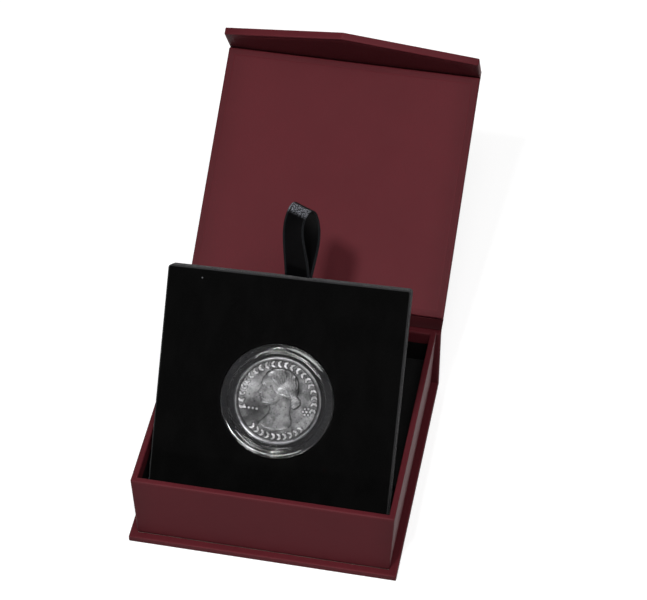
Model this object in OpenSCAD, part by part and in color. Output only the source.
// Book style coin display case, opened, with its insert stood up in the tray.
// Own frame: +X right along the front edge, +Y to the back, +Z up.
// Origin: middle of the base underside, on the surface that the case stands on.
// Front to back distances are counted from the base front edge.
// All sizes are in millimetres, all angles in degrees.

/* [Case] */
// width of base, spine, lid and flap over the covering paper
case_w = 75.6; // [70:0.1:90]
// grey board thickness in base, spine, lid and flap
case_board_t = 1.6; // [1.2:0.1:2.2]
// covering paper thickness everywhere
paper_t = 0.2; // [0.1:0.05:0.3]
// width of the covering paper turned in round each board
turn_in = 12; // [6:0.5:14]
// bare margin between a lining sheet and the board edge
lining_margin = 2; // [1:0.25:4]
// how far the base stands out in front of the tray
front_lip = 1.9; // [1.2:0.1:4]
// how much shorter the lid is than the base
lid_set_back = 2.55; // [2:0.05:4]
// gap between the shut lid and the tray rim
lid_rest_gap = 0.05; // [0.02:0.01:0.3]
// flap length at its sides, from its fold line
flap_side_l = 13.1; // [8:0.1:18]
// flap length at its point, from its fold line
flap_point_l = 22.4; // [14:0.1:23]
// width of the covering paper turned in round the flap board
flap_turn_in = 3.5; // [2.5:0.1:4]
// sideways place of the flap point
flap_point_x = -1.7; // [-4:0.1:4]

/* [Folds] */
// thickness of a paper hinge strip
strip_t = 0.4; // [0.3:0.05:0.5]
// length of the lid hinge strip between its two fold lines
strip_l = 3.05; // [2.5:0.05:4]
// running gap round each fold line
fold_gap = 0.05; // [0.02:0.01:0.1]
// gap between the lid front edge and the inner face of the folded flap
flap_gap = 0.4; // [0.3:0.05:0.8]
// lean of the hinge strip back from upright, as photographed
strip_lean = 75.3; // [60:0.1:90]
// lean of the lid back from upright, as photographed
lid_lean = 56.7; // [30:0.1:80]
// angle between lid and flap, 90 when shut
flap_angle = 90; // [90:1:180]

/* [Tray] */
// how far the base stands out past the foot of each side wall
side_lip = 2.2; // [1.5:0.1:4]
// how far each side wall leans out at its top
tray_lean = 1.0; // [0:0.1:1.5]
// tray depth over the paper, front to back
tray_d = 71.8; // [66:0.1:85]
// tray height over the paper
tray_h = 21.9; // [18:0.1:28]
// grey board thickness of the tray walls
wall_board_t = 1.3; // [1:0.1:1.6]
// tray floor board thickness
floor_t = 1.4; // [1:0.1:2]
// depth of the covering paper turned in below the rim
rim_turn_in = 4.2; // [3:0.1:8]

/* [Riser] */
// level of the riser top above the surface
riser_top_z = 15.15; // [10:0.1:17]
// clearance between the riser front edge and the leaning insert
riser_gap = 0.11; // [0.05:0.01:0.3]
// level of the front pad top above the surface
pad_top_z = 6.0; // [4:0.05:8]
// slip clearance round the foam blocks
foam_gap = 0.15; // [0.1:0.05:0.4]
// room left behind the riser for the folded ribbon
riser_back_gap = 2; // [1:0.1:4]

/* [Insert] */
// clearance between insert and tray at each side
insert_side_gap = 0.3; // [0.2:0.05:1]
// front and rear clearance of the insert in the tray, added together
insert_end_gap = 1.4; // [1:0.1:3]
// insert thickness over the velvet
insert_t = 7.2; // [6.5:0.1:8]
// velvet thickness
velvet_t = 0.35; // [0.2:0.05:0.6]
// backing card thickness
card_t = 0.5; // [0.4:0.05:0.8]
// lean of the insert up from the flat, as photographed
insert_lean = 50.1; // [40:0.1:60]
// turn of the insert about the upright, as photographed
insert_yaw = 2; // [0:0.1:3]
// sideways place of the insert
insert_x = -0.1; // [-0.3:0.05:0.3]
// distance of the lower front edge of the insert from the tray front wall
insert_foot_back = 3; // [2.5:0.1:5]
// clearance between the foot of the insert and the front pad
insert_foot_gap = 0.08; // [0.05:0.01:0.3]
// distance of the coin centre below the middle of the insert
coin_drop = 0.85; // [0:0.05:2]

/* [Capsule and coin] */
// wall of the cover outside the collar
cover_wall = 2.3; // [1.2:0.1:3.5]
// capsule thickness
capsule_t = 6.2; // [5.6:0.1:6.6]
// how far the capsule stands out of the velvet
capsule_proud = 0.85; // [0.4:0.05:1.2]
// thickness of the capsule floor under the coin
capsule_floor_t = 1.65; // [1:0.05:2]
// thickness of the clear window over the coin
window_t = 0.8; // [0.5:0.05:1]
// depth of the window below the capsule rim
window_drop = 0.65; // [0.3:0.05:1]
// wall of the collar that the coin sits in
collar_wall = 1.17; // [0.8:0.01:2]
// gap between the collar and the window above it
collar_top_gap = 0.2; // [0.1:0.05:0.5]
// thickness of the capsule base flange
flange_t = 2.55; // [2:0.05:3]
// clearance between capsule and its pocket, on the radius
pocket_gap = 0.05; // [0.02:0.01:0.15]
// clearance between coin and collar, on the radius
coin_gap = 0.1; // [0.05:0.01:0.2]
// clearance between collar and cover, on the radius
cover_gap = 0.05; // [0.02:0.01:0.1]
// coin diameter, a standard coin size
coin_d = 24.26; // [18:0.01:30]
// coin thickness, a standard coin size
coin_t = 1.75; // [1.5:0.05:1.9]
// depth of the coin face below its raised rim
coin_field_drop = 0.12; // [0.05:0.01:0.2]
// width of the raised rim of the coin
coin_rim_w = 0.7; // [0.4:0.05:1]

/* [Ribbon] */
// ribbon width
ribbon_w = 7.6; // [5:0.1:10]
// ribbon thickness
ribbon_t = 0.35; // [0.3:0.05:0.5]
// sideways place of the ribbon from the middle of the insert
ribbon_x = 1.7; // [-6:0.1:6]
// height of the ribbon loop above the insert edge
loop_h = 19.6; // [12:0.1:26]
// opening of the ribbon loop at its widest
loop_depth = 7.6; // [3:0.1:9]
// where the two plies leave the foot, counted round from its lowest point
loop_foot = 35; // [20:1:50]
// half opening of the loop near its foot
loop_neck = 1.2; // [0.8:0.05:1.5]
// turn of the loop about its own length
loop_turn = -30; // [-45:1:45]
// lean of the loop forward from the insert plane
loop_lean = 4.5; // [0:0.5:20]
// length of the ribbon ends glued under the backing card
ribbon_tail_l = 12; // [8:0.5:16]

/* [Magnets] */
// closing magnet diameter
magnet_d = 8; // [6:0.5:10]
// closing magnet thickness
magnet_t = 0.9; // [0.6:0.1:1]
// distance between the two magnets
magnet_pitch = 20; // [14:1:30]
// distance of the magnets from the flap fold line
magnet_along = 12; // [8:0.5:14]

/* [Hidden] */

maroon = [0.30, 0.09, 0.11];
grey_board = [0.55, 0.53, 0.48];
black_foam = [0.05, 0.05, 0.05];
black_velvet = [0.02, 0.02, 0.02];
black_paper = [0.07, 0.06, 0.06];
black_satin = [0.06, 0.06, 0.07];
steel = [0.7, 0.7, 0.72];
clear = [0.85, 0.9, 0.92, 0.4];
coin_metal = [0.78, 0.78, 0.76];

// cutters reach this far past the faces that they open
cut = 1;

base_t = case_board_t + 2 * paper_t;
plate_t = case_board_t + 3 * paper_t;
spine_t = case_board_t + paper_t;
tray_w = case_w - 2 * side_lip;
tray_rear_y = front_lip + tray_d;
case_d = tray_rear_y + spine_t;
rim_z = base_t + tray_h;
wall_t = wall_board_t + 2 * paper_t;
strip_r = strip_t / 2;
lid_l = case_d - lid_set_back;
spine_h = rim_z + lid_rest_gap + plate_t - strip_l - strip_t - fold_gap;

// fold lines: lid to spine, and along the lid frame lid to flap
fold_y = case_d - strip_r;
fold_z = spine_h + strip_r + fold_gap;
lid_start = strip_r + fold_gap;
lid_end = lid_start + lid_l;
plate_top = plate_t - strip_r;
flap_fold = lid_end + flap_gap + plate_top;

insert_w = tray_w - 2 * wall_t - 2 * insert_side_gap;
insert_l = tray_d - 2 * wall_t - insert_end_gap;
insert_foot_y = front_lip + wall_t + insert_foot_back;
insert_back_z = pad_top_z + insert_foot_gap;
insert_foot_z = insert_back_z + insert_t * cos(insert_lean);

// the riser front edge lies behind the leaning back of the insert
insert_back_d = insert_t * sin(insert_lean) + (riser_top_z - insert_back_z) / tan(insert_lean);
riser_front_y = insert_foot_y + riser_gap
    + (insert_back_d + insert_w / 2 * sin(insert_yaw)) / cos(insert_yaw);

collar_d = coin_d + 2 * coin_gap + 2 * collar_wall;
capsule_d = collar_d + 2 * cover_gap + 2 * cover_wall;
insert_mid = insert_l / 2 - coin_drop;
capsule_bottom = insert_t + capsule_proud - capsule_t;
coin_bottom = capsule_bottom + capsule_floor_t;
flange_top = capsule_bottom + flange_t;
capsule_top = capsule_bottom + capsule_t;
window_top = capsule_top - window_drop;
collar_top = window_top - window_t - collar_top_gap;
pocket_d = capsule_d + 2 * pocket_gap;

// half width of the tray at a height, measured in from its outside
function tray_half(z, inset) = tray_w / 2 + tray_lean * (z - base_t) / tray_h - inset;

// block with the tray's leaning sides
module tray_prism(inset, z0, z1, y0, y1) {
    a = tray_half(z0, inset);
    b = tray_half(z1, inset);
    from_front() translate([0, y1, 0]) rotate([90, 0, 0]) linear_extrude(height = y1 - y0)
        polygon([[-a, z0], [a, z0], [b, z1], [-b, z1]]);
}

// leaning side wall between two insets, side is 1 right and -1 left
module tray_side(side, outer, inner, z0, z1, y0, y1) {
    from_front() translate([0, y1, 0]) rotate([90, 0, 0]) linear_extrude(height = y1 - y0)
        polygon([[side * tray_half(z0, inner), z0], [side * tray_half(z0, outer), z0],
            [side * tray_half(z1, outer), z1], [side * tray_half(z1, inner), z1]]);
}

// moves what is counted from the base front edge into the part's own frame
module from_front() {
    translate([0, -case_d / 2, 0]) children();
}

module block(x0, x1, y0, y1, z0, z1) {
    translate([x0, y0, z0]) cube([x1 - x0, y1 - y0, z1 - z0]);
}

// frame of the lid hinge strip: X across, Y along it from the fold line on the spine
module in_strip() {
    from_front() translate([0, fold_y, fold_z]) rotate([90 - strip_lean, 0, 0]) children();
}

// frame of the lid: X across, Y from its rear fold line, Z to its inner side
module in_lid() {
    in_strip() translate([0, strip_l, 0]) rotate([strip_lean - lid_lean, 0, 0]) children();
}

// frame of the flap: X across, Y along the flap from its fold line, Z to its inner side
module in_flap() {
    in_lid() translate([0, flap_fold, 0]) rotate([flap_angle, 0, 0]) children();
}

// frame of the insert: X across, Y up the insert, Z out of its face, back at zero
module in_insert() {
    from_front() translate([insert_x, insert_foot_y, insert_foot_z]) rotate([0, 0, insert_yaw])
        rotate([insert_lean, 0, 0]) translate([0, 0, -insert_t]) children();
}

// the two magnet places, measured along the flap or down the tray front
module magnet_pair() {
    for (side = [-1, 1]) translate([side * magnet_pitch / 2, 0, 0]) children();
}

module base_board() color(grey_board) from_front()
    block(-case_w / 2 + paper_t, case_w / 2 - paper_t, paper_t, tray_rear_y,
        paper_t, base_t - paper_t);

module base_wrap() color(maroon) from_front() difference() {
    block(-case_w / 2, case_w / 2, 0, tray_rear_y, 0, base_t);
    block(-case_w / 2 + paper_t, case_w / 2 - paper_t, paper_t, tray_rear_y + cut,
        paper_t, base_t - paper_t);
    block(-case_w / 2 + turn_in, case_w / 2 - turn_in, turn_in, tray_rear_y - turn_in,
        paper_t, base_t + cut);
}

module spine_board() color(grey_board) from_front()
    block(-case_w / 2 + paper_t, case_w / 2 - paper_t, tray_rear_y,
        case_d - paper_t, paper_t, spine_h - paper_t);

module spine_wrap() color(maroon) from_front() difference() {
    block(-case_w / 2, case_w / 2, tray_rear_y, case_d, 0, spine_h);
    block(-case_w / 2 + paper_t, case_w / 2 - paper_t, tray_rear_y - cut,
        case_d - paper_t, paper_t, spine_h - paper_t);
}

module tray_front_wall() color(grey_board) difference() {
    tray_prism(paper_t, base_t, rim_z - paper_t, front_lip + paper_t,
        front_lip + paper_t + wall_board_t);
    tray_magnet_places(cut);
}

module tray_rear_wall() color(grey_board)
    tray_prism(paper_t, base_t, rim_z - paper_t, tray_rear_y - paper_t - wall_board_t,
        tray_rear_y - paper_t);

module tray_long_wall(side) color(grey_board)
    tray_side(side, paper_t, paper_t + wall_board_t, base_t, rim_z - paper_t,
        front_lip + paper_t + wall_board_t, tray_rear_y - paper_t - wall_board_t);

module tray_left_wall() tray_long_wall(-1);

module tray_right_wall() tray_long_wall(1);

module tray_floor() color(grey_board) {
    tray_prism(paper_t + wall_board_t, base_t, base_t + floor_t,
        front_lip + paper_t + wall_board_t, tray_rear_y - paper_t - wall_board_t);
    from_front() block(-case_w / 2 + turn_in, case_w / 2 - turn_in, turn_in,
        tray_rear_y - turn_in, base_t - paper_t, base_t);
}

// paper over the outside, the rim and down to the turn-in, open inside and below
module tray_wrap() color(maroon) difference() {
    tray_prism(0, base_t, rim_z, front_lip, tray_rear_y);
    tray_prism(paper_t, base_t - cut, rim_z - rim_turn_in, front_lip + paper_t,
        tray_rear_y - paper_t);
    difference() {
        tray_prism(paper_t, rim_z - rim_turn_in - cut, rim_z - paper_t,
            front_lip + paper_t, tray_rear_y - paper_t);
        tray_prism(wall_t - paper_t, rim_z - rim_turn_in - 2 * cut, rim_z,
            front_lip + wall_t - paper_t, tray_rear_y - wall_t + paper_t);
    }
    tray_prism(wall_t, rim_z - rim_turn_in - cut, rim_z + cut, front_lip + wall_t,
        tray_rear_y - wall_t);
}

module tray_lining() color(black_paper) difference() {
    tray_prism(wall_t - paper_t, base_t + floor_t, rim_z - rim_turn_in,
        front_lip + wall_t - paper_t, tray_rear_y - wall_t + paper_t);
    tray_prism(wall_t, base_t + floor_t - cut, rim_z - rim_turn_in + cut,
        front_lip + wall_t, tray_rear_y - wall_t);
}

module tray_magnet_places(past) {
    from_front() magnet_pair() translate([0, front_lip + paper_t + magnet_t,
        fold_z + strip_l - magnet_along]) rotate([90, 0, 0])
        cylinder(d = magnet_d, h = magnet_t + past);
}

module tray_magnets() color(steel) tray_magnet_places(0);

module riser_block() color(black_foam)
    tray_prism(wall_t + foam_gap, base_t + floor_t, riser_top_z, riser_front_y,
        tray_rear_y - wall_t - riser_back_gap);

module front_pad() color(black_foam)
    tray_prism(wall_t + foam_gap, base_t + floor_t, pad_top_z,
        front_lip + wall_t + foam_gap, riser_front_y);

module insert_velvet() color(black_velvet) in_insert() difference() {
    block(-insert_w / 2, insert_w / 2, 0, insert_l, 0, insert_t);
    block(-insert_w / 2 + velvet_t, insert_w / 2 - velvet_t, velvet_t,
        insert_l - velvet_t, -cut, insert_t - velvet_t);
    translate([0, insert_mid, 0]) cylinder(d = pocket_d, h = insert_t + cut);
    ribbon_place(insert_l - 2 * velvet_t, insert_l + cut, card_t);
}

module insert_foam() color(black_foam) in_insert() difference() {
    block(-insert_w / 2 + velvet_t, insert_w / 2 - velvet_t, velvet_t,
        insert_l - velvet_t, card_t, insert_t - velvet_t);
    translate([0, insert_mid, capsule_bottom])
        cylinder(d = pocket_d, h = insert_t + cut);
    ribbon_place(insert_l - ribbon_tail_l, insert_l, card_t - cut);
}

module insert_card() color(black_paper) in_insert()
    block(-insert_w / 2 + velvet_t, insert_w / 2 - velvet_t, velvet_t,
        insert_l - velvet_t, 0, card_t);

// room of the two ribbon plies in the insert
module ribbon_place(y0, y1, z0) {
    translate([ribbon_x, 0, 0])
        block(-ribbon_w / 2, ribbon_w / 2, y0, y1, z0, card_t + 2 * ribbon_t);
}

module ribbon_tails() color(black_satin) in_insert()
    ribbon_place(insert_l - ribbon_tail_l, insert_l, card_t);

// loop outline: a drop shape, narrow at its foot, followed from foot to foot
loop_steps = 28;
function loop_height(a) = loop_h * (sin(a) + cos(loop_foot)) / (1 + cos(loop_foot));
function loop_at(i) = let (a = -90 + loop_foot + (360 - 2 * loop_foot) * i / loop_steps)
    [cos(a) * (loop_neck + (loop_depth / 2 - loop_neck) * (1 + sin(a)) / 2), loop_height(a)];
function loop_out(i) = let (d = loop_at(i + 0.5) - loop_at(i - 0.5), n = norm(d))
    [d[1] / n, -d[0] / n];
loop_outer = [for (i = [0:loop_steps]) loop_at(i) + loop_out(i) * ribbon_t / 2];
loop_inner = [for (i = [loop_steps:-1:0]) loop_at(i) - loop_out(i) * ribbon_t / 2];

module ribbon_loop() color(black_satin) in_insert()
    translate([ribbon_x, insert_l, card_t + ribbon_t]) rotate([loop_lean, 0, 0])
        rotate([0, loop_turn, 0]) translate([-ribbon_w / 2, ribbon_t, 0])
        rotate([90, 0, 90]) linear_extrude(height = ribbon_w)
        polygon([for (p = concat(loop_outer, loop_inner)) [p[1], p[0]]]);

module capsule_base() color(clear) in_insert() translate([0, insert_mid, 0]) difference() {
    union() {
        translate([0, 0, capsule_bottom]) cylinder(d = capsule_d, h = flange_t);
        translate([0, 0, capsule_bottom]) cylinder(d = collar_d, h = collar_top - capsule_bottom);
    }
    translate([0, 0, coin_bottom]) cylinder(d = coin_d + 2 * coin_gap, h = capsule_t);
}

module capsule_cover() color(clear) in_insert() translate([0, insert_mid, 0]) difference() {
    translate([0, 0, flange_top]) cylinder(d = capsule_d, h = capsule_top - flange_top);
    translate([0, 0, flange_top - cut])
        cylinder(d = collar_d + 2 * cover_gap, h = window_top - window_t - flange_top + cut);
    translate([0, 0, window_top]) cylinder(d = collar_d + 2 * cover_gap, h = window_drop + cut);
}

module coin() color(coin_metal) in_insert() translate([0, insert_mid, coin_bottom])
    difference() {
        cylinder(d = coin_d, h = coin_t);
        translate([0, 0, coin_t - coin_field_drop])
            cylinder(d = coin_d - 2 * coin_rim_w, h = coin_field_drop + cut);
        translate([0, 0, -cut])
            cylinder(d = coin_d - 2 * coin_rim_w, h = coin_field_drop + cut);
    }

// paper strip with a round edge on each fold line
module lid_hinge_strip() color(maroon) in_strip() {
    block(-case_w / 2, case_w / 2, 0, strip_l, -strip_r, strip_r);
    for (y = [0, strip_l]) translate([-case_w / 2, y, 0]) rotate([0, 90, 0])
        cylinder(d = strip_t, h = case_w);
}

module lid_board() color(grey_board) in_lid()
    block(-case_w / 2 + paper_t, case_w / 2 - paper_t, lid_start + paper_t,
        lid_end - paper_t, paper_t - strip_r, paper_t - strip_r + case_board_t);

module lid_wrap() color(maroon) in_lid() difference() {
    block(-case_w / 2, case_w / 2, lid_start, lid_end, -strip_r, plate_top - paper_t);
    block(-case_w / 2 + paper_t, case_w / 2 - paper_t, lid_start + paper_t,
        lid_end - paper_t, paper_t - strip_r, paper_t - strip_r + case_board_t);
    block(-case_w / 2 + turn_in, case_w / 2 - turn_in, lid_start + turn_in,
        lid_end - turn_in, paper_t - strip_r, plate_t);
}

module lid_lining() color(maroon) in_lid() {
    block(-case_w / 2 + lining_margin, case_w / 2 - lining_margin, lid_start + lining_margin,
        lid_end - lining_margin, plate_top - paper_t, plate_top);
    block(-case_w / 2 + turn_in, case_w / 2 - turn_in, lid_start + turn_in,
        lid_end - turn_in, plate_top - 2 * paper_t, plate_top - paper_t);
}

// the paper between lid and flap, glued to the lid edge and round on the fold line
module flap_hinge_strip() color(maroon) in_lid() {
    block(-case_w / 2, case_w / 2, lid_end, flap_fold, -strip_r, strip_r);
    translate([-case_w / 2, flap_fold, 0]) rotate([0, 90, 0]) cylinder(d = strip_t, h = case_w);
}

// pointed flap outline drawn in from its edge by an inset
function flap_slope(x1) = (flap_point_l - flap_side_l) / abs(x1 - flap_point_x);
function flap_drop(x1, inset) = inset * sqrt(1 + pow(flap_slope(x1), 2));
function flap_edge(x1, inset) = flap_side_l - flap_drop(x1, inset)
    + inset * flap_slope(x1);
module flap_plate(inset, z0, z1) {
    half = case_w / 2;
    point = flap_point_l - min(flap_drop(half, inset), flap_drop(-half, inset));
    translate([0, 0, z0]) linear_extrude(height = z1 - z0)
        polygon([[-half + inset, lid_start + inset], [half - inset, lid_start + inset],
            [half - inset, flap_edge(half, inset)], [flap_point_x, point],
            [-half + inset, flap_edge(-half, inset)]]);
}

module flap_board() color(grey_board) in_flap() difference() {
    flap_plate(paper_t, paper_t - strip_r, paper_t - strip_r + case_board_t);
    flap_magnet_places(cut);
}

module flap_wrap() color(maroon) in_flap() difference() {
    flap_plate(0, -strip_r, plate_top - paper_t);
    flap_plate(paper_t, paper_t - strip_r, paper_t - strip_r + case_board_t);
    flap_plate(flap_turn_in, paper_t - strip_r, plate_t);
}

module flap_lining() color(maroon) in_flap() {
    flap_plate(lining_margin, plate_top - paper_t, plate_top);
    flap_plate(flap_turn_in, plate_top - 2 * paper_t, plate_top - paper_t);
}

module flap_magnet_places(past) {
    magnet_pair() translate([0, magnet_along, plate_top - 2 * paper_t - magnet_t])
        cylinder(d = magnet_d, h = magnet_t + past);
}

module flap_magnets() color(steel) in_flap() flap_magnet_places(0);

// which node to draw

base_board();
base_wrap();
spine_board();
spine_wrap();
tray_front_wall();
tray_rear_wall();
tray_left_wall();
tray_right_wall();
tray_floor();
tray_wrap();
tray_lining();
tray_magnets();
riser_block();
front_pad();
insert_foam();
insert_velvet();
insert_card();
ribbon_tails();
ribbon_loop();
capsule_base();
capsule_cover();
coin();
lid_hinge_strip();
lid_board();
lid_wrap();
lid_lining();
flap_hinge_strip();
flap_board();
flap_wrap();
flap_lining();
flap_magnets();
